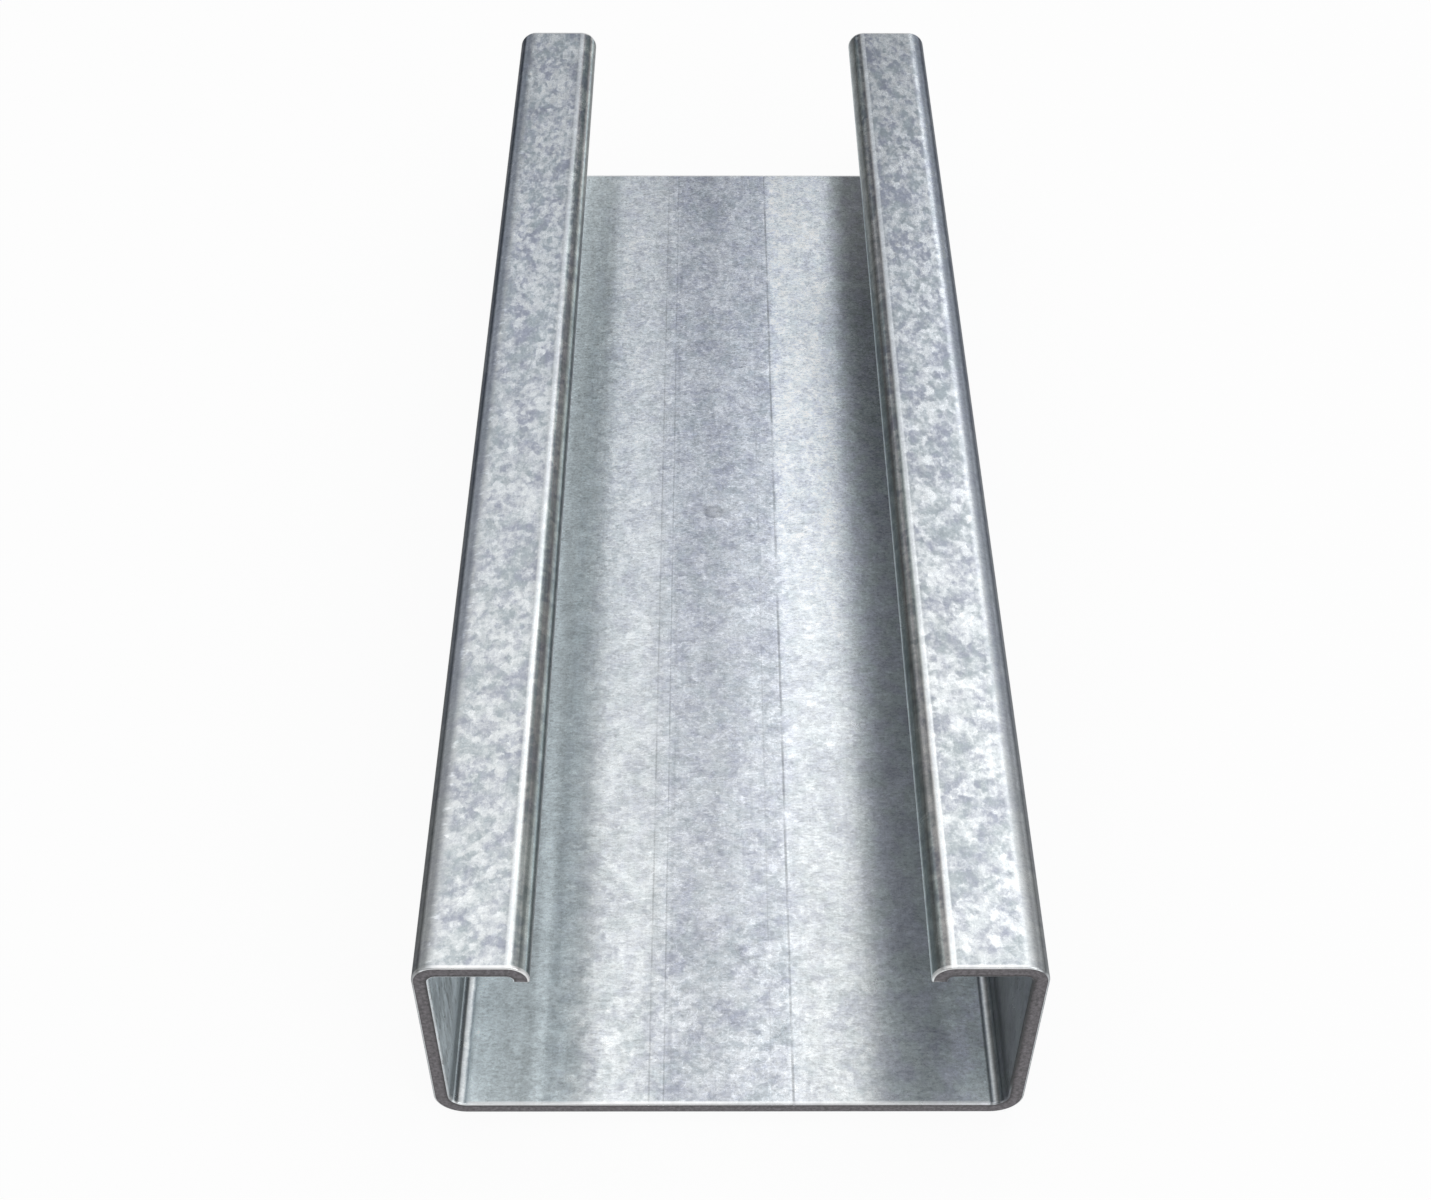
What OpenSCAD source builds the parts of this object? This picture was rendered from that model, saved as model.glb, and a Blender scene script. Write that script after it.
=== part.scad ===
// Steel stud: a short length of lipped C channel, folded from one galvanised sheet.
// The web lies flat with its back on z = 0, the open side faces +Z and the length runs along Y.

/* [Channel] */
// Width across the web, over the outer faces of the flanges
web_w = 92.1; // [63.5:0.1:152.4]
// Height from the back of the web to the faces of the lips
flange_h = 41.3; // [31.8:0.1:76.2]
// Length between the two square-cut ends
stud_l = 250; // [100:1:600]
// Thickness of the sheet, the same in every strip and bend
sheet_t = 2.5; // [0.9:0.05:3.2]

/* [Lips] */
// Width of each lip, from the outer face of its flange to its turned edge
lip_w = 17.1; // [14:0.1:25]
// Straight part of each turned edge, below its bend
edge_leg = 0.6; // [0.4:0.1:4]

/* [Bends] */
// Inside radius of the bend between the web and each flange
web_bend_r = 2.5; // [1:0.1:4]
// Inside radius of the bend between each flange and its lip
lip_bend_r = 1.2; // [1:0.1:4]
// Inside radius of the bend that turns the free edge of each lip down
edge_bend_r = 0.8; // [0.5:0.1:2]

/* [Hidden] */
$fn = 96;
half_w = web_w / 2;                 // middle of the web to a flange's outer face
web_bend_o = web_bend_r + sheet_t;  // outside radii of the three bends
lip_bend_o = lip_bend_r + sheet_t;
edge_bend_o = edge_bend_r + sheet_t;
edge_x = half_w - lip_w;            // face of a turned edge, where the slot begins

// Quarter ring of sheet in the quadrant given by the signs sx and sy, centred on the origin.
module bend(r_in, sx, sy) {
    r_out = r_in + sheet_t;
    intersection() {
        difference() {
            circle(r = r_out);
            circle(r = r_in);
        }
        translate([sx > 0 ? 0 : -r_out, sy > 0 ? 0 : -r_out]) square(r_out);
    }
}

// Flange, lip and turned edge on the +X side, with the bends that join them, as a flat outline.
module side() {
    translate([half_w - web_bend_o, web_bend_o]) bend(web_bend_r, 1, -1);
    translate([half_w - sheet_t, web_bend_o])
        square([sheet_t, flange_h - web_bend_o - lip_bend_o]);
    translate([half_w - lip_bend_o, flange_h - lip_bend_o]) bend(lip_bend_r, 1, 1);
    translate([edge_x + edge_bend_o, flange_h - sheet_t])
        square([lip_w - edge_bend_o - lip_bend_o, sheet_t]);
    translate([edge_x + edge_bend_o, flange_h - edge_bend_o]) bend(edge_bend_r, -1, 1);
    translate([edge_x, flange_h - edge_bend_o - edge_leg]) square([sheet_t, edge_leg]);
}

// Cross-section of the whole channel.
module section() {
    translate([web_bend_o - half_w, 0]) square([web_w - 2 * web_bend_o, sheet_t]);
    side();
    mirror([1, 0]) side();
}

// Folded sheet: web, two flanges, two lips and their turned edges in one run.
module stud() {
    color([0.72, 0.74, 0.76])
        translate([0, stud_l / 2, 0])
            rotate([90, 0, 0])
                linear_extrude(height = stud_l)
                    section();
}

stud();
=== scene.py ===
import bpy
from math import atan2, hypot, pi, radians
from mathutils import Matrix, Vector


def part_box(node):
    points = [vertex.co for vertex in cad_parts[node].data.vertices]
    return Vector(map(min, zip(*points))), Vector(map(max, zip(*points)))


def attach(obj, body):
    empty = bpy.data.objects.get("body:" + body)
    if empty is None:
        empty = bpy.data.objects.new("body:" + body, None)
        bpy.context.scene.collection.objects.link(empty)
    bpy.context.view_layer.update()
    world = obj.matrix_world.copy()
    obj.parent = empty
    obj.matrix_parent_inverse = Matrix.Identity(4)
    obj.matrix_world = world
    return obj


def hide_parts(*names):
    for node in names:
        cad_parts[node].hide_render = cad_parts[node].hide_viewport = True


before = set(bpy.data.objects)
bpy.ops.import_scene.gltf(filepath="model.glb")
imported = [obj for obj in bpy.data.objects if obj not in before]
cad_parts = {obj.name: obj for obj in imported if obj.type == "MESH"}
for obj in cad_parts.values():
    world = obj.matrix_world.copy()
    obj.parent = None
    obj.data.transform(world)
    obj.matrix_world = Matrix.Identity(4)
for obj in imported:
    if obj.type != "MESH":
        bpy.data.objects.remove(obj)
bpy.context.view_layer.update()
studLow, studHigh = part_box("stud")
print("frame loaded:", ", ".join(sorted(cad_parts)))

midX = (studLow.x + studHigh.x) / 2
midY = (studLow.y + studHigh.y) / 2
webWidth = studHigh.x - studLow.x
studHeight = studHigh.z - studLow.z
studLength = studHigh.y - studLow.y
near = 1e-5   # places closer than this count as one


# Edit mode helpers

def clearSelection():
    if bpy.context.object and bpy.context.object.mode != "OBJECT":
        bpy.ops.object.mode_set(mode="OBJECT")
    bpy.ops.object.select_all(action="DESELECT")


def pick(piece, kind, wanted):
    # selects the edges, faces or vertices for which wanted() is true, and leaves the piece in edit mode
    bpy.ops.object.mode_set(mode="EDIT")
    bpy.ops.mesh.select_mode(type=kind)
    bpy.ops.mesh.select_all(action="DESELECT")
    bpy.ops.object.mode_set(mode="OBJECT")
    mesh = piece.data
    if kind == "EDGE":
        for edge in mesh.edges:
            edge.select = wanted(mesh.vertices[edge.vertices[0]].co, mesh.vertices[edge.vertices[1]].co)
    elif kind == "FACE":
        for face in mesh.polygons:
            face.select = wanted(face.center, face.normal)
    else:
        for vertex in mesh.vertices:
            vertex.select = wanted(vertex.co)
    bpy.ops.object.mode_set(mode="EDIT")


def drawOut(x, y, z):
    bpy.ops.mesh.extrude_region_move(TRANSFORM_OT_translate={"value": (x, y, z)})


def applyAll(piece):
    bpy.ops.object.mode_set(mode="OBJECT")
    for modifier in list(piece.modifiers):
        bpy.ops.object.modifier_apply(modifier=modifier.name)


# Folded sheet

foldedSheet = {
    "thickness": 0.0025,
    "webBend": 0.0050,       # outside radii of the bends
    "lipBend": 0.0037,
    "edgeBend": 0.0033,
    "lipWidth": 0.0171,
    "edgeDepth": 0.0039,     # how far a turned edge reaches below its lip
    "bendSteps": 14,
    "lengthSteps": 50,
    "cutRounding": 0.0004,   # roll-over that the shear leaves round each cut end
    "cutSteps": 3,
    "sharpAngle": 50,
    "rollMarks": [           # distance to the right of the web's middle, width and depth of each crease
        (-0.0126, 0.00034, 0.00006),
        (-0.0103, 0.00030, 0.00005),
        (0.0068, 0.00026, 0.00004),
        (0.0102, 0.00036, 0.00007),
    ],
}


def foldStud(s):
    half = webWidth / 2
    slotEdge = half - s["lipWidth"]
    clearSelection()
    bpy.ops.mesh.primitive_grid_add(x_subdivisions=1, y_subdivisions=s["lengthSteps"], size=1,
                                    location=(midX, midY, studLow.z))
    stud = bpy.context.object
    stud.name = "galvanisedStud"
    stud.scale = (webWidth, studLength, 1)
    bpy.ops.object.transform_apply(location=True, rotation=True, scale=True)

    # flange, lip and turned edge are drawn out of the web's two long edges in turn
    for side in (-1, 1):
        pick(stud, "EDGE", lambda a, b: min(side * (a.x - midX), side * (b.x - midX)) > half - near)
        drawOut(0, 0, studHeight)
        drawOut(-side * s["lipWidth"], 0, 0)
        drawOut(0, 0, -s["edgeDepth"])

    # each fold line becomes an arc
    for across, height, radius in ((half, studLow.z, s["webBend"]), (half, studHigh.z, s["lipBend"]),
                                   (slotEdge, studHigh.z, s["edgeBend"])):
        def onFold(v):
            return abs(abs(v.x - midX) - across) < near and abs(v.z - height) < near
        pick(stud, "EDGE", lambda a, b: onFold(a) and onFold(b) and (a.x - midX) * (b.x - midX) > 0)
        bpy.ops.mesh.bevel(offset=radius, segments=s["bendSteps"], profile=0.5, affect="EDGES",
                           clamp_overlap=False)
    bpy.ops.mesh.select_all(action="SELECT")
    bpy.ops.mesh.remove_doubles(threshold=near)
    bpy.ops.object.mode_set(mode="OBJECT")

    wall = stud.modifiers.new("wall", "SOLIDIFY")
    wall.thickness = s["thickness"]
    wall.offset = 1
    wall.use_even_offset = True
    applyAll(stud)

    # creases that the rolls press into the inside of the web
    webTop = studLow.z + s["thickness"]
    for across, width, depth in s["rollMarks"]:
        for step in (-width / 2, 0, width / 2):
            pick(stud, "FACE", lambda c, n: n.z > 0.9 and abs(c.z - webTop) < 4 * near)
            bpy.ops.mesh.bisect(plane_co=(midX + across + step, 0, 0), plane_no=(1, 0, 0))
        pick(stud, "VERT", lambda v: abs(v.x - midX - across) < near / 2 and abs(v.z - webTop) < near)
        bpy.ops.transform.translate(value=(0, 0, -depth))
    bpy.ops.object.mode_set(mode="OBJECT")

    rollOver = stud.modifiers.new("rollOver", "BEVEL")
    rollOver.width = s["cutRounding"]
    rollOver.segments = s["cutSteps"]
    rollOver.limit_method = "ANGLE"
    rollOver.angle_limit = radians(s["sharpAngle"])
    evenShade = stud.modifiers.new("evenShade", "WEIGHTED_NORMAL")
    evenShade.keep_sharp = True
    clearSelection()
    stud.select_set(True)
    bpy.context.view_layer.objects.active = stud
    bpy.ops.object.modifier_apply(modifier="rollOver")
    bpy.ops.object.shade_smooth_by_angle(angle=radians(s["sharpAngle"]))
    bpy.ops.object.modifier_apply(modifier="evenShade")
    measureSheet(stud, s)
    return stud


def measureSheet(stud, s):
    # writes on each point how far it lies from the middle of the web, in millimetres along the sheet,
    # and how deep it lies in the sheet, from 0 on the outer side to 1 on the inner side
    half, wall = webWidth / 2, s["thickness"]
    flatEdge = half - s["webBend"]   # where the strips between the bends begin and end
    flangeLow, flangeHigh = studLow.z + s["webBend"], studHigh.z - s["lipBend"]
    lipOuter, lipInner = half - s["lipBend"], half - s["lipWidth"] + s["edgeBend"]
    quarter = pi / 2
    starts = {"webBend": flatEdge}
    starts["flange"] = starts["webBend"] + quarter * (s["webBend"] - wall / 2)
    starts["lipBend"] = starts["flange"] + flangeHigh - flangeLow
    starts["lip"] = starts["lipBend"] + quarter * (s["lipBend"] - wall / 2)
    starts["edgeBend"] = starts["lip"] + lipOuter - lipInner
    starts["edge"] = starts["edgeBend"] + quarter * (s["edgeBend"] - wall / 2)
    across = stud.data.attributes.new("across", "FLOAT", "POINT")
    inward = stud.data.attributes.new("inward", "FLOAT", "POINT")
    for index, vertex in enumerate(stud.data.vertices):
        x, z = abs(vertex.co.x - midX), vertex.co.z
        if z < flangeLow and x <= flatEdge:
            run, deep = x, (z - studLow.z) / wall
        elif z < flangeLow:
            turn = atan2(x - flatEdge, flangeLow - z)
            run = starts["webBend"] + turn * (s["webBend"] - wall / 2)
            deep = (s["webBend"] - hypot(x - flatEdge, flangeLow - z)) / wall
        elif z <= flangeHigh and x > half - wall * 1.5:
            run, deep = starts["flange"] + z - flangeLow, (half - x) / wall
        elif x > lipOuter:
            turn = atan2(z - flangeHigh, x - lipOuter)
            run = starts["lipBend"] + turn * (s["lipBend"] - wall / 2)
            deep = (s["lipBend"] - hypot(x - lipOuter, z - flangeHigh)) / wall
        elif x >= lipInner:
            run, deep = starts["lip"] + lipOuter - x, (studHigh.z - z) / wall
        elif z >= studHigh.z - s["edgeBend"]:
            turn = atan2(lipInner - x, z - studHigh.z + s["edgeBend"])
            run = starts["edgeBend"] + turn * (s["edgeBend"] - wall / 2)
            deep = (s["edgeBend"] - hypot(lipInner - x, z - studHigh.z + s["edgeBend"])) / wall
        else:
            run = starts["edge"] + studHigh.z - s["edgeBend"] - z
            deep = (x - half + s["lipWidth"]) / wall
        across.data[index].value = 1000 * run * (1 if vertex.co.x > midX else -1)
        inward.data[index].value = deep
    print("strips begin at", {name: round(1000 * start, 2) for name, start in starts.items()})


# Finishes

class Wire:
    # one output of a node; Python maths on it adds Math nodes
    def __init__(self, finish, socket):
        self.finish = finish
        self.socket = socket

    def maths(self, operation, a, b):
        return self.finish.maths(operation, a, b)

    def __add__(self, other):
        return self.maths("ADD", self, other)

    def __radd__(self, other):
        return self.maths("ADD", other, self)

    def __sub__(self, other):
        return self.maths("SUBTRACT", self, other)

    def __rsub__(self, other):
        return self.maths("SUBTRACT", other, self)

    def __mul__(self, other):
        return self.maths("MULTIPLY", self, other)

    def __rmul__(self, other):
        return self.maths("MULTIPLY", other, self)

    def __truediv__(self, other):
        return self.maths("DIVIDE", self, other)

    def __abs__(self):
        return self.maths("ABSOLUTE", self, 0)


class Finish:
    # a material under construction
    def __init__(self, name):
        self.material = bpy.data.materials.new(name)
        self.material.use_nodes = True
        self.tree = self.material.node_tree
        self.tree.nodes.clear()
        self.output = self.tree.nodes.new("ShaderNodeOutputMaterial")

    def add(self, kind, settings=None, sockets=None, out=0):
        node = self.tree.nodes.new(kind)
        for key, value in (settings or {}).items():
            if key == "stops":
                elements = node.color_ramp.elements
                elements[0].position, elements[1].position = value[0][0], value[-1][0]
                for place, _ in value[1:-1]:
                    elements.new(place)
                for element, (_, colour) in zip(elements, value):
                    element.color = (*colour, 1)
            else:
                setattr(node, key, value)
        for key, value in (sockets or {}).items():
            if isinstance(value, Wire):
                self.tree.links.new(value.socket, node.inputs[key])
            else:
                node.inputs[key].default_value = value
        return Wire(self, node.outputs[out])

    def maths(self, operation, a, b=0.0):
        return self.add("ShaderNodeMath", {"operation": operation}, {0: a, 1: b})

    def band(self, value, start, end, low=0.0, high=1.0):
        # smooth step from low to high as value goes from start to end
        return self.add("ShaderNodeMapRange", {"interpolation_type": "SMOOTHSTEP"}, {
            "Value": value, "From Min": start, "From Max": end, "To Min": low, "To Max": high})

    def ramp(self, value, stops):
        # grey that follows value through stops of (value, tone) in rising order
        low, high = stops[0][0], stops[-1][0]
        spread = [((place - low) / (high - low), (tone,) * 3) for place, tone in stops]
        return self.add("ShaderNodeValToRGB", {"stops": spread}, {0: (value - low) / (high - low)})

    def tint(self, factor, a, b, mode="MIX"):
        a, b = [(*colour, 1) if isinstance(colour, tuple) else colour for colour in (a, b)]
        return self.add("ShaderNodeMix", {"data_type": "RGBA", "blend_type": mode},
                        {0: factor, 6: a, 7: b}, out=2)

    def times(self, a, b):
        return self.tint(1.0, a, b, "MULTIPLY")

    def vector(self, operation, a, b=None, scale=None):
        sockets = {0: a}
        if b is not None:
            sockets[1] = b
        if scale is not None:
            sockets["Scale"] = scale
        return self.add("ShaderNodeVectorMath", {"operation": operation}, sockets)

    def noise(self, place, scale, detail=2.0, rough=0.5, twist=0.0, out=0):
        return self.add("ShaderNodeTexNoise", {}, {"Vector": place, "Scale": scale, "Detail": detail,
                                                   "Roughness": rough, "Distortion": twist}, out=out)

    def parts(self, vector):
        node = self.add("ShaderNodeSeparateXYZ", {}, {0: vector}).socket.node
        return [Wire(self, output) for output in node.outputs]

    def close(self, shader):
        self.tree.links.new(shader.socket, self.output.inputs["Surface"])
        return self.material


even = (1, 1, 1)

zincCoat = {   # sizes and places in millimetres
    "pale": (0.94, 0.975, 1.0),      # the flakes
    "lilac": (0.45, 0.48, 0.57),
    "sage": (0.50, 0.56, 0.60),
    "dullTeal": (0.93, 0.99, 1.0),   # tints of whole parts of the sheet, two of them painted reflection
    "dullBlue": (0.93, 0.955, 1.03),
    "lipTint": (1.0, 1.0, 0.985),
    "webTint": (0.98, 0.983, 1.0),
    # painted reflection: the sheet bluer towards the far end
    "farTint": (0.985, 1.005, 1.05),
    # painted reflection: the lips' outer bends bluer towards the near end
    "bendTint": (0.955, 0.985, 1.06),
    "edgeBrown": (0.93, 0.89, 0.87),
    "edgeOlive": (0.87, 0.92, 0.89),
    "edgeTeal": (0.84, 0.95, 0.95),
    # painted highlight along the cut ends, and painted shadow on the right-hand flange's cut edge
    "rimHighlight": (1.0, 1.0, 1.0),
    "shadowed": (0.02, 0.02, 0.02),
    "flakeSize": 1.5,
    "raggedness": 0.9,
    "flakeTilt": 0.04,
    "farFiner": 0.0015,      # how fast the grain narrows, and lengthens, towards the far end
    "farLonger": 0.0006,
    "roughness": 0.27,
    "darkRoughness": 0.06,   # added where a flake is dark
    "grazingTint": 0.30,
    "dullMetal": 0.25,       # metallic share where the coat is dull, against 1 elsewhere
    "bump": (0.3, 0.00004),  # strength, and height in metres
    "parts": {   # distances along the sheet from the web's middle, between which each part comes in
        "rightSide": (-1.0, 1.0),
        "web": (41.5, 40.5),
        "webMiddle": (14.5, 8.5),
        "dullWeb": (21.5, 28.0),
        "flange": (48.5, 51.5),
        "lip": (82.4, 84.0),
        "edge": (93.7, 94.1),
        "dullEdge": (94.7, 95.2),
        "tealEdge": (95.2, 95.6),
        "bendTone": (40.0, 40.4),
        "flangeTone": (74.0, 76.5),
        "lipTone": (79.0, 84.0),
        "longGrain": (42.5, 45.0),
        "belowLip": (84.0, 79.0),
        "clearLeft": (-28.0, -30.0),
        "dullLeft": (-28.5, -31.0),
    },
    "strips": {   # where each strip starts, is full, is no longer full, and ends
        "webBend": (41.0, 41.6, 44.2, 44.8),
        "lipBend": (80.5, 81.2, 82.4, 83.0),
        "glint": (93.2, 93.5, 93.95, 94.2),
        "besideGlint": (93.9, 94.15, 94.5, 94.8),
        "spots": (-83.6, -83.1, -82.7, -82.2),
        "nearLine": (-33.5, -32.5, -30.9, -29.9),
        "dullStrip": (-30.6, -29.4, -26.0, -24.0),
        "paleStrip": (8.0, 12.0, 24.0, 28.0),
        "dullPatch": (23.0, 30.0, 41.0, 46.0),
    },
    "fades": {   # distances along the stud from its middle, between which each change comes in
        "nearEnd": (-82.0, -112.0),
        "farther": (-70.0, 80.0),
        "farEnd": (-30.0, 90.0),
        "spread": (-110.0, 10.0),
        "farLip": (-125.0, -55.0),
        "farGlint": (-70.0, 0.0),
        "besideGlint": (-118.0, -85.0),
        "farTint": (-95.0, 50.0),
        "bendTint": (-115.0, -60.0),
    },
    "ranges": {   # values between which each mask comes in
        "inward": (0.35, 0.65),      # depth in the sheet, from its outer to its inner side
        "dark": (0.72, 0.30),
        "flakeTint": (0.38, 0.62),
        "dullTint": (0.40, 0.60),
        "edgeTint": (0.40, 0.60),
        "strokes": (0.49, 0.57),
        "spots": (0.56, 0.66),
        "broken": (0.30, 0.62),
    },
    "noises": {   # stretch along x, y and z, then scale, detail, roughness and twist
        "warp": (even, 0.8, 3.0, 0.65),
        "feather": (even, 0.85, 5.0, 0.68),
        "rim": (even, 0.45, 3.0, 0.55, 0.9),
        "cloud": (even, 0.13, 3.0, 0.6),
        "tintCloud": (even, 0.22, 3.0, 0.6),
        "fine": (even, 3.0, 3.0, 0.7),
        "ripple": ((0.64, 1.38, 1.0), 0.95, 5.0, 0.68, 1.3),
        "crisp": ((0.85, 1.2, 1.0), 1.7, 3.0, 0.7, 0.8),
        "waves": ((0.42, 0.98, 1.0), 0.70, 3.0, 0.6, 1.8),
        "strokes": ((0.52, 1.25, 1.0), 1.05, 3.0, 0.55, 1.8),
        "brushed": ((0.45, 2.0, 0.8), 1.2, 4.0, 0.7),
        "drawn": ((1.0, 0.012, 7.0), 3.0, 3.0, 0.65),
        "drawnTint": ((1.0, 0.010, 1.0), 1.5, 2.0, 0.6),
        "blotch": ((1.0, 0.7, 0.7), 0.34, 4.0, 0.65),
        "smudge": ((1.0, 0.34, 0.09), 1.0, 4.0, 0.65),
        "smudgeGap": ((1.0, 0.9, 0.30), 0.8, 3.0, 0.6),
        "spots": ((0.3, 0.75, 0.3), 1.0, 3.0, 0.6),
        "broken": ((0.6, 0.09, 0.6), 1.0, 3.0, 0.6),
    },
    "mottle": {"tone": 0.22, "feather": 0.78, "cloud": 0.45},    # mix of noises that shows as spangle
    "streaks": {"tone": 0.10, "feather": 0.24, "ripple": 0.60, "brushed": 0.06, "cloud": 0.30},
    "farContrast": 0.6,              # how much more contrast the mix has towards the far end
    "paleCurl": (0.5, 0.026),        # value of the noise that a curl follows, and the curl's half width
    "darkCurl": (0.54, 0.020),
    "darkness": {"all": 0.70, "lip": 0.30, "webMiddle": 0.20, "dulled": -0.25},
    "clearLeft": 0.8,                # how much of the dark goes along the left of the web
    "clearGlint": 0.7,
    "grain": {   # contrast of each noise, everywhere and on parts of the sheet
        "fine": {"all": 0.42, "web": -0.14},
        "crisp": {"all": 0.15, "web": 0.40, "dulled": 0.40, "farther": 0.60},
        "brushed": {"web": 0.12},
        "drawn": {"all": 0.20, "edge": 0.60},
        "strokes": {"web": -0.12, "farther": -0.08},
        "waves": {"web": 0.60},
    },
    "rims": {"paleCurl": {"lip": 0.144, "webMiddle": 0.24}, "darkCurl": {"web": -0.28}},
    "blotches": {"blotch": {"dulled": 0.75}},
    "webPaintedLight": [     # painted reflections and shade across the web: distance to the right of the web's middle, share of full brightness
        (-41, 0.88), (-39.5, 0.82), (-37.5, 0.72), (-34.5, 0.70), (-33.2, 0.74), (-32.2, 0.92),
        (-31.2, 0.90), (-30.3, 0.76), (-29.6, 0.69), (-27.6, 0.76), (-25.6, 0.73), (-24.3, 0.77),
        (-21.5, 0.96), (-16, 0.92), (-12.5, 0.84), (-9, 0.76), (-3, 0.70), (0, 0.73), (6, 0.81),
        (9.6, 0.80), (10.8, 0.95), (14, 0.93), (20.5, 0.93), (23, 0.88), (24.8, 0.74), (26.5, 0.64),
        (28.5, 0.50), (30.5, 0.45), (35, 0.47), (37, 0.56), (40, 0.74), (41, 0.74),
    ],
    "webSpread": (1.045, 0.96),      # how the painted strips of the web spread from the near end to the middle
    "rightSheen": (0.90, 1.16),      # painted sheen right of the middle, at the near end and beyond
    "leftBendPaintedLight": [    # painted highlights, reflections and shade in the bends and on the flanges' inner faces: distance along the sheet from the web's middle, share of full brightness
        (40.0, 1.0), (40.6, 0.95), (41.0, 0.85), (41.4, 1.0), (43.1, 1.0), (43.4, 0.42),
        (43.8, 0.60), (44.1, 1.0), (44.6, 0.95), (45.0, 0.26), (46.5, 0.42), (48.5, 0.72),
        (52.0, 0.92), (79.0, 0.80),
    ],
    # painted shade: the right-hand bend and flange darker than the left
    "rightBendPaintedLight": [
        (40.0, 0.74), (40.9, 0.80), (41.1, 0.40), (41.3, 0.26), (41.55, 0.50), (41.85, 0.84),
        (42.1, 0.78), (42.4, 0.55), (42.8, 0.28), (43.2, 0.20), (43.45, 0.30), (43.7, 0.42),
        (43.95, 0.36), (44.3, 0.22), (44.9, 0.17), (46.9, 0.18), (52.0, 0.23), (62.0, 0.27),
        (79.0, 0.29),
    ],
    "flangeTone": 0.75,
    # painted highlights and dark reflections along the outer bends, lips and turned edges, each side on
    # its own: distance along the sheet from the web's middle, share of full brightness
    "leftEdgePaintedLight": [
        (76.5, 0.75), (79.5, 0.38), (80.6, 0.32), (81.1, 0.25), (81.45, 0.13), (81.65, 0.34),
        (81.9, 0.90), (82.15, 0.86), (82.4, 0.70), (82.7, 0.74), (83.1, 0.82), (84.5, 0.90),
        (92.6, 0.88), (93.3, 0.76), (93.5, 0.86), (93.65, 1.0), (93.85, 1.0), (94.0, 0.80),
        (94.2, 0.56), (94.4, 0.58), (94.6, 0.74), (94.85, 0.52), (95.05, 0.42), (95.3, 0.80),
        (95.55, 1.0), (95.75, 0.42), (95.95, 0.22), (97.4, 0.22),
    ],
    "rightEdgePaintedLight": [
        (76.5, 0.80), (79.5, 0.75), (80.6, 0.60), (81.0, 0.42), (81.3, 0.24), (81.6, 0.48),
        (81.85, 0.92), (82.3, 0.96), (82.9, 0.91), (83.8, 0.80), (85.0, 0.83), (87.0, 0.80),
        (92.6, 0.78), (93.3, 0.72), (93.55, 1.0), (93.85, 1.0), (94.1, 0.37), (94.35, 0.50),
        (94.6, 0.92), (94.85, 0.50), (95.05, 0.18), (95.5, 0.24), (96.1, 0.36), (96.5, 1.0),
        (96.9, 1.0), (97.2, 0.55), (97.4, 0.30),
    ],
    "nearFlakes": 0.70,              # how much the near end of the web shows the lips' spangle
    "shares": {   # share of full brightness that each painted shade keeps
        "farLip": 0.88,              # painted shade on the right-hand lip, away from the near end
        "farGlint": 0.90,            # painted highlight along each turned edge, dimmer away from the near end
        "besideGlint": 0.72,         # painted shade on the strip beside the left-hand highlight, at the near end
        "farStrip": 0.87,            # painted dark reflection along the left of the web, towards the far end
        "nearLine": 0.86,            # painted pale highlight line left of that strip, dimmer at the near end
        "farPatch": 0.5,             # painted shade along the right-hand bend, towards the far end
    },
    "smudges": {   # range of the noise, share of full brightness where it is darkest
        "smudge": (0.36, 0.62, 0.55),
        "smudgeGap": (0.38, 0.43, 0.45),
    },
    "rightSmudges": 0.45,            # how much weaker the smudges are on the right-hand flange
    "spotStrength": 0.45,
    "rollMarks": [   # distance to the right of the web's middle, half width, darkness
        (-12.6, 0.22, 0.26), (-10.3, 0.18, 0.24), (-9.4, 0.5, 0.10), (6.8, 0.2, 0.14),
        (10.2, 0.32, 0.40),
    ],
    "stain": (-2.1, 8.0, 1.9, 1.7),  # place and half sizes
    "stainRagged": 1.8,
    "stainRim": (0.50, 0.1, 0.18),   # where it fades out and is full, darkness
    "stainFill": (1.1, 0.7, 0.22),
    "cutLine": (0.65, 0.40),         # distances from a cut end where its painted highlight starts and is full
    "cutHighlight": (0.20, 0.50, 0.60),    # strength of that painted highlight on the left, on the web and on the lips
    # painted shadow along the right-hand flange's cut edge
    "cutShadow": 0.85,
}


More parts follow.
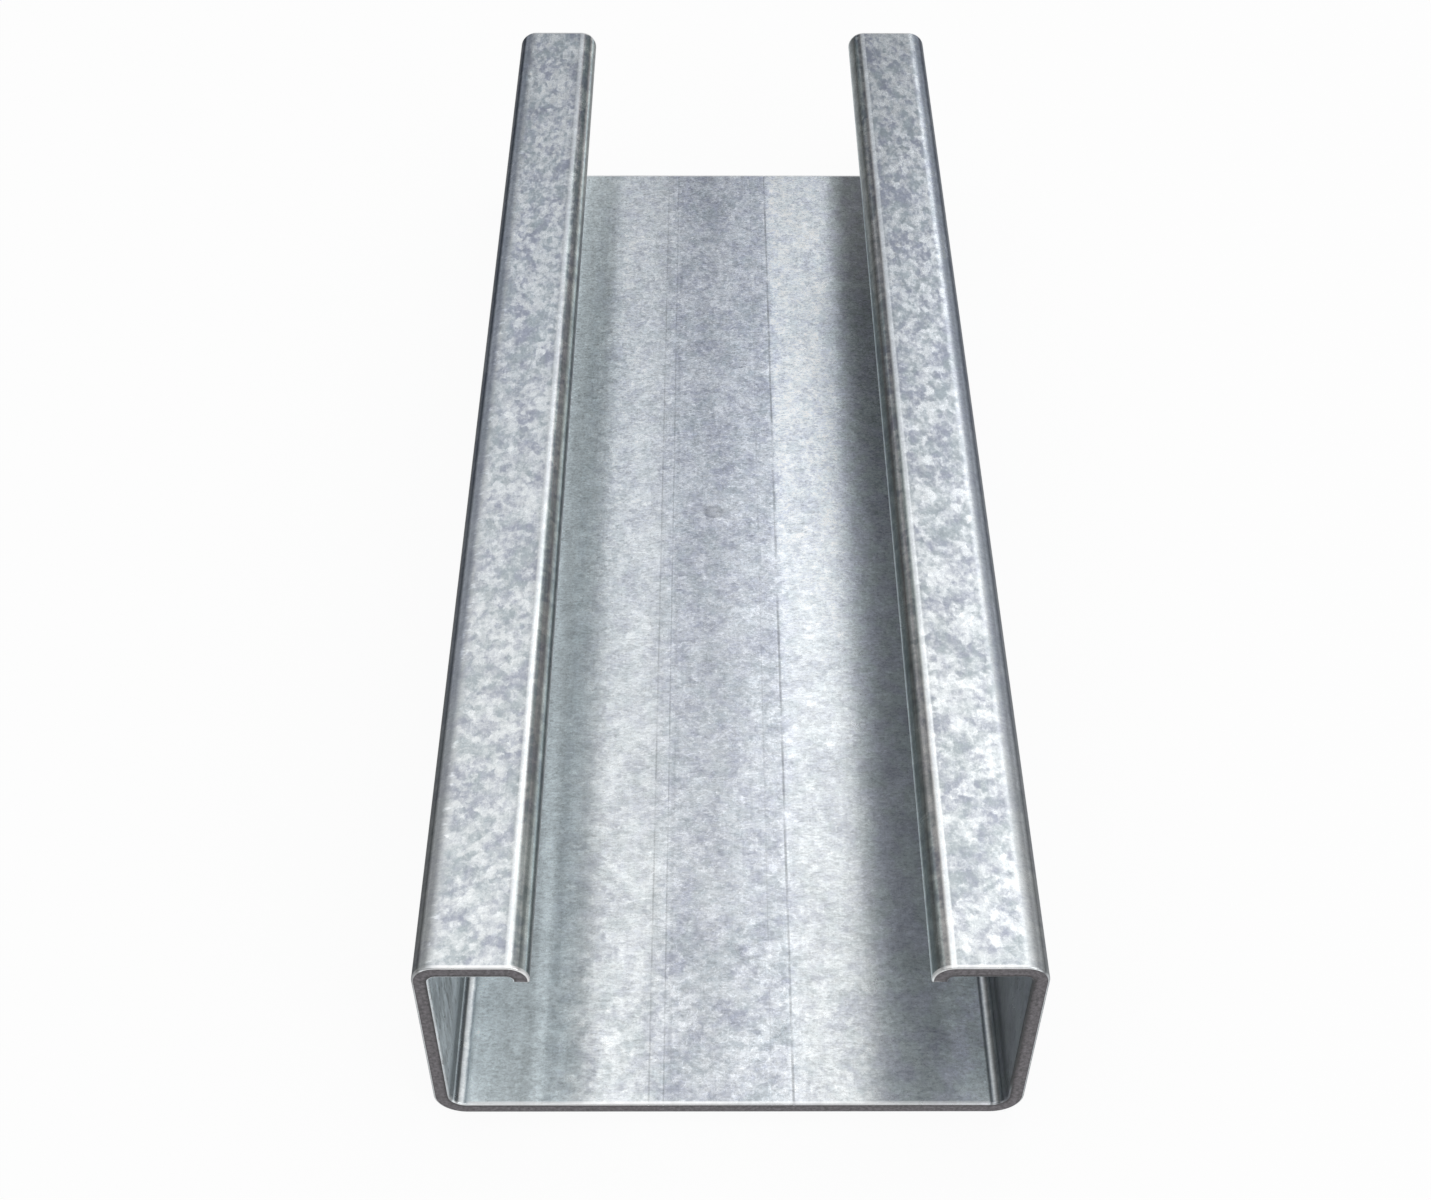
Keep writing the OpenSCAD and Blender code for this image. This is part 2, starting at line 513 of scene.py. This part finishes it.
def makeZinc(z):
    f = Finish("spangledZinc")
    place = f.vector("SCALE", f.add("ShaderNodeTexCoord", {}, {}, out=3), scale=1000.0)   # millimetres
    x, y, height = f.parts(place)
    across = f.add("ShaderNodeAttribute", {"attribute_name": "across"}, {}, out=2)
    reach = abs(across)
    halfLength = 500 * studLength

    def mask(name, value):
        return f.band(value, *z["ranges"][name])

    def part(name, value=reach):
        return f.band(value, *z["parts"][name])

    def strip(name, value=reach):
        start, full, fullEnd, end = z["strips"][name]
        return f.band(value, start, full) * f.band(value, end, fullEnd)

    def fade(name, low=0.0, high=1.0):
        return f.band(y, *z["fades"][name], low, high)

    # parts of the sheet
    inward = mask("inward", f.add("ShaderNodeAttribute", {"attribute_name": "inward"}, {}, out=2))
    outward = 1 - inward
    rightSide = part("rightSide", across)
    onWeb = part("web") * inward
    onWebMiddle = part("webMiddle") * inward
    onFlange = part("flange")
    onLip = part("lip") * outward
    onLipBend = strip("lipBend") * outward
    onEdge = part("edge")
    # strips of painted highlight along the turned edges, and of painted shade beside the left one
    glint = strip("glint") * outward
    beside = strip("besideGlint") * outward * (1 - rightSide)
    dulled = inward * part("dullWeb") * (1 - strip("webBend")) + outward * part("dullEdge")
    nearEnd, farther, farEnd = fade("nearEnd"), fade("farther"), fade("farEnd")

    # the grain narrows towards the far end, and lengthens there on the lips
    along = y + halfLength
    finer = 1 + along * z["farFiner"]
    longer = along * along * (part("longGrain") * z["farLonger"])
    place = f.add("ShaderNodeCombineXYZ", {}, {0: x * finer, 1: y - longer, 2: height * finer})

    def noise(name, at=place, out=0):
        stretch, *settings = z["noises"][name]
        return f.noise(f.vector("MULTIPLY", at, stretch), *settings, out=out)

    def curl(name, value):
        middle, half = z[name]
        return f.band(abs(value - middle), half, 0.0)

    # spangle: small crystals of zinc in several tones, with soft ragged edges and pale curling rims
    warp = f.vector("SUBTRACT", noise("warp", out=1), (0.5, 0.5, 0.5))
    ragged = f.vector("ADD", place, f.vector("SCALE", warp, scale=z["raggedness"] * 2))
    flakes = f.add("ShaderNodeTexVoronoi", {"feature": "SMOOTH_F1"}, {
        "Vector": ragged, "Scale": 1 / z["flakeSize"], "Smoothness": 0.6, "Randomness": 1.0}, out=1)
    feather = noise("feather", ragged)
    ripple = noise("ripple")
    fine = noise("fine")
    brushed = noise("brushed")
    tintCloud = noise("tintCloud", f.vector("ADD", place, (37.0, 11.0, 5.0)))
    drawn = noise("drawn", f.add("ShaderNodeCombineXYZ", {}, {0: across, 1: y, 2: inward}))
    drawnTint = noise("drawnTint", f.add("ShaderNodeCombineXYZ", {}, {0: across, 1: y, 2: 3.0}))
    mixes = {"tone": f.parts(flakes)[0], "feather": feather, "ripple": ripple, "brushed": brushed,
             "cloud": noise("cloud") - 0.5}
    where = {"all": 1.0, "web": onWeb, "webMiddle": onWebMiddle, "lip": onLip, "edge": onEdge,
             "dulled": dulled, "farther": farther}
    marks = {
        "fine": fine - 0.5,
        "crisp": noise("crisp") - 0.5,
        "brushed": brushed - 0.5,
        "drawn": drawn - 0.5,
        "strokes": mask("strokes", noise("strokes")) - 0.4,
        "waves": noise("waves") - 0.5,
        "paleCurl": curl("paleCurl", noise("rim", ragged)),
        "darkCurl": curl("darkCurl", ripple),
        "blotch": noise("blotch") - 0.5,
    }

    def total(shares, values):
        return sum(values[name] * share for name, share in shares.items())

    def relief(name):
        return 1 + sum(marks[mark] * total(shares, where) for mark, shares in z[name].items())

    flaky = onLip + onWeb * nearEnd * z["nearFlakes"]
    mixed = total(z["mottle"], mixes) * flaky + total(z["streaks"], mixes) * (1 - flaky)
    mixed = (mixed - 0.5) * (1 + farther * z["farContrast"]) + 0.5
    dark = mask("dark", mixed) * total(z["darkness"], where)
    dark = dark * (1 - part("clearLeft", across) * onWeb * z["clearLeft"])
    grey = f.tint(mask("flakeTint", tintCloud), z["sage"], z["lilac"])
    flaked = f.tint(dark * (1 - glint * z["clearGlint"]), z["pale"], grey)
    shade = relief("grain") * relief("rims") * relief("blotches")

    # tone of each part: painted highlights, reflections and shade across the sheet
    webPaintedLight = f.ramp(across * fade("spread", *z["webSpread"]), z["webPaintedLight"])
    edgePaintedLight = f.tint(rightSide, f.ramp(reach, z["leftEdgePaintedLight"]), f.ramp(reach, z["rightEdgePaintedLight"]))
    edgeTint = f.tint(mask("edgeTint", drawnTint), z["edgeBrown"], z["edgeOlive"])
    edgeTint = f.tint(part("tealEdge"), edgeTint, z["edgeTeal"])
    striped = f.tint(onEdge, edgePaintedLight, f.times(edgePaintedLight, edgeTint))
    bendTone = f.tint(rightSide, f.ramp(reach, z["leftBendPaintedLight"]), f.ramp(reach, z["rightBendPaintedLight"]))
    insideTone = f.tint(part("bendTone"), webPaintedLight, bendTone)
    insideTone = f.tint(part("lipTone"), insideTone, (1, 1, 1))
    outsideTone = f.tint(part("flangeTone"), (z["flangeTone"],) * 3, striped)
    sheetTone = f.tint(inward, outsideTone, insideTone)

    # smudges on the flanges' inner faces, white spots along the left-hand bend
    smudge = 1
    for name, (start, end, darkest) in z["smudges"].items():
        smudge = smudge * f.band(noise(name), start, end, darkest, 1.0)
    weaker = 1 - rightSide * z["rightSmudges"]
    shade = shade * (1 - (1 - smudge) * weaker * onFlange * inward * part("belowLip"))
    spots = mask("spots", noise("spots")) * strip("spots", across) * outward
    shade = shade * (1 + spots * z["spotStrength"])

    # dark lines that the rolls left on the web, a stain, a painted sheen strip and painted shade on
    # parts of the sheet
    broken = mask("broken", noise("broken"))
    for middle, half, strength in z["rollMarks"]:
        line = f.band(abs(across - middle), half, half * 0.3)
        shade = shade * (1 - line * broken * strength * inward)
    stainX, stainY, stainWide, stainLong = z["stain"]
    stainX, stainY = (x - stainX) / stainWide, (y - stainY) / stainLong
    ring = stainX * stainX + stainY * stainY + (feather - 0.5) * z["stainRagged"]
    stained = 0
    for distance, (start, full, strength) in ((abs(ring - 1), z["stainRim"]), (ring, z["stainFill"])):
        stained = stained + f.band(distance, start, full) * strength
    shade = shade * (1 - stained * onWeb)
    # painted sheen on the web right of the middle, weaker at the near end
    paintedSheen = fade("spread", *z["rightSheen"]) - 1
    shade = shade * (1 + paintedSheen * strip("paleStrip", across) * onWeb)
    # painted shade, and painted highlights dimmed, on parts of the sheet
    paintedShade = {
        "farLip": fade("farLip") * rightSide * onLip,
        "farGlint": fade("farGlint") * glint,
        "besideGlint": fade("besideGlint") * beside,
        "farStrip": farEnd * strip("dullStrip", across) * onWeb,
        "nearLine": nearEnd * strip("nearLine", across) * inward,
        "farPatch": farEnd * strip("dullPatch", across) * onWeb,
    }
    for name, share in z["shares"].items():
        shade = shade * (1 - paintedShade[name] * (1 - share))

    colour = f.times(flaked, sheetTone)
    dullTint = f.tint(mask("dullTint", tintCloud) * rightSide, z["dullTeal"], z["dullBlue"])
    brightTint = f.tint(onWebMiddle, z["lipTint"], z["webTint"])
    colour = f.times(colour, f.tint(dulled * inward, brightTint, dullTint))
    # painted reflection: bluer towards the far end, and on the lips' outer bends near the near end
    colour = f.tint(fade("farTint") * (1 - dulled), colour, f.times(colour, z["farTint"]))
    colour = f.tint(fade("bendTint") * onLipBend, colour, f.times(colour, z["bendTint"]))
    colour = f.vector("SCALE", colour, scale=shade)

    # painted highlight along each cut end, and painted shadow on the right-hand flange's cut edge
    cutEnd = f.band(abs(y), *[halfLength - inset for inset in z["cutLine"]])
    left, web, lips = z["cutHighlight"]
    rimHighlight = cutEnd * (left * (1 - rightSide) + web * onWeb + lips * onLip)
    colour = f.tint(rimHighlight, colour, z["rimHighlight"])
    colour = f.tint(cutEnd * rightSide * inward * onFlange * z["cutShadow"], colour, z["shadowed"])

    facing = f.add("ShaderNodeNewGeometry", {}, {}, out=1)
    lean = f.vector("SCALE", f.vector("SUBTRACT", flakes, (0.5, 0.5, 0.5)), scale=z["flakeTilt"])
    normal = f.vector("NORMALIZE", f.vector("ADD", facing, lean))
    strength, rise = z["bump"]
    bump = f.add("ShaderNodeBump", {}, {
        "Strength": strength, "Distance": rise, "Height": fine, "Normal": normal})

    metal = 1 - z["dullMetal"] + part("dullLeft", across) * onWeb * z["dullMetal"]
    shader = f.add("ShaderNodeBsdfPrincipled", {}, {
        "Base Color": colour,
        "Metallic": 1 - dulled * metal,
        "Roughness": z["roughness"] + dark * z["darkRoughness"],
        "Specular Tint": (z["grazingTint"],) * 3 + (1,),
        "Normal": bump,
    })
    return f.close(shader)


shearedSteel = {
    "dark": (0.078, 0.075, 0.078),
    "light": (0.200, 0.186, 0.202),
    "metallic": 0.6,
    "roughness": 0.5,
    "bump": (0.5, 0.0001),   # strength, and height in metres
    "depthTone": [    # from the sheet's outer face to its inner face
        (0.0, 0.60), (0.15, 0.80), (0.24, 1.0), (0.66, 1.0), (0.82, 0.50), (1.0, 0.30),
    ],
}


def makeShearedSteel(s):
    f = Finish("shearedSteel")
    place = f.vector("SCALE", f.add("ShaderNodeTexCoord", {}, {}, out=3), scale=1000.0)
    inward = f.add("ShaderNodeAttribute", {"attribute_name": "inward"}, {}, out=2)
    grain = f.noise(place, 1.6, 4.0, 0.65)
    colour = f.tint(f.band(grain, 0.3, 0.7), s["dark"], s["light"])
    colour = f.times(colour, f.ramp(inward, s["depthTone"]))
    strength, rise = s["bump"]
    bump = f.add("ShaderNodeBump", {}, {"Strength": strength, "Distance": rise, "Height": grain})
    shader = f.add("ShaderNodeBsdfPrincipled", {}, {
        "Base Color": colour,
        "Metallic": s["metallic"],
        "Roughness": s["roughness"],
        "Normal": bump,
    })
    return f.close(shader)


stud = foldStud(foldedSheet)
stud.data.materials.append(makeZinc(zincCoat))
stud.data.materials.append(makeShearedSteel(shearedSteel))
clearSelection()
stud.select_set(True)
bpy.context.view_layer.objects.active = stud
pick(stud, "FACE", lambda c, n: abs(n.y) > 0.97)   # the cut ends
stud.active_material_index = 1
bpy.ops.object.material_slot_assign()
bpy.ops.object.mode_set(mode="OBJECT")
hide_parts("stud")
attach(stud, "root")
print("stud folded:", len(stud.data.polygons), "faces")


# Floor, light and camera

studio = {
    "floorSize": 8.0,
    "floorColour": (0.90, 0.90, 0.90),
    "floorWhite": 0.92,      # share of plain white that the floor shows to the camera and in the metal
    "skyLow": 0.36,          # brightness of the room at eye level and overhead
    "skyHigh": 1.42,
    "skyRise": (0.28, 0.95), # heights between which it brightens, from 0 at eye level to 1 overhead
    "lamps": [   # name, place, aim, width and height, watts
        ("keyBox", (0.36, 0.95, 0.95), (0, 0, 0), (0.35, 0.90), 0.95),
        ("fillBox", (0.60, -0.75, 0.60), (0, 0, 0), (0.40, 0.40), 1.30),
    ],
}


def makeFloor(s):
    clearSelection()
    bpy.ops.mesh.primitive_plane_add(size=s["floorSize"], location=(0, 0, studLow.z - 0.0001))
    floor = bpy.context.object
    floor.name = "studioFloor"
    f = Finish("floorPaint")
    paint = f.add("ShaderNodeBsdfDiffuse", {}, {"Color": (*s["floorColour"], 1), "Roughness": 0.0})
    white = f.add("ShaderNodeEmission", {}, {"Color": (1, 1, 1, 1), "Strength": 1.0})
    rays = f.add("ShaderNodeLightPath", {}, {}).socket.node
    share = 0.0
    for name in ("Is Camera Ray", "Is Glossy Ray", "Is Transmission Ray"):
        share = f.maths("MAXIMUM", Wire(f, rays.outputs[name]), share)
    mixed = f.add("ShaderNodeMixShader", {}, {0: share * s["floorWhite"], 1: paint, 2: white})
    floor.data.materials.append(f.close(mixed))


def makeSky(s):
    world = bpy.data.worlds.new("studioRoom")
    bpy.context.scene.world = world
    world.use_nodes = True
    nodes, links = world.node_tree.nodes, world.node_tree.links
    nodes.clear()
    output = nodes.new("ShaderNodeOutputWorld")
    background = nodes.new("ShaderNodeBackground")
    place = nodes.new("ShaderNodeTexCoord")
    split = nodes.new("ShaderNodeSeparateXYZ")
    rise = nodes.new("ShaderNodeMapRange")
    rise.interpolation_type = "SMOOTHSTEP"
    rise.inputs["From Min"].default_value, rise.inputs["From Max"].default_value = s["skyRise"]
    rise.inputs["To Min"].default_value = s["skyLow"]
    rise.inputs["To Max"].default_value = s["skyHigh"]
    links.new(place.outputs["Generated"], split.inputs[0])
    links.new(split.outputs["Z"], rise.inputs["Value"])
    links.new(rise.outputs["Result"], background.inputs["Strength"])
    links.new(background.outputs[0], output.inputs["Surface"])


def makeLamps(s):
    for name, place, aim, size, watts in s["lamps"]:
        clearSelection()
        bpy.ops.object.light_add(type="AREA", location=place)
        lamp = bpy.context.object
        lamp.name = name
        lamp.data.shape = "RECTANGLE"
        lamp.data.size, lamp.data.size_y = size
        lamp.data.energy = watts
        away = lamp.location - type(lamp.location)(aim)
        lamp.rotation_euler = away.to_track_quat("Z", "Y").to_euler()


camera = {   # metres, degrees and millimetres
    "place": (-0.0032867, -0.281803, 0.284801),
    "turn": (43.227, -0.161, -0.145),
    "lens": 50.22,
}


def makeCamera(c):
    clearSelection()
    bpy.ops.object.camera_add(location=c["place"], rotation=[radians(a) for a in c["turn"]])
    view = bpy.context.object
    view.name = "mainCamera"
    view.data.lens = c["lens"]
    view.data.sensor_width = 36
    view.data.clip_start = 0.01
    view.data.clip_end = 50
    bpy.context.scene.camera = view


makeFloor(studio)
makeSky(studio)
makeLamps(studio)
makeCamera(camera)
bpy.context.scene.view_settings.view_transform = "Standard"
print("floor, light and camera set")
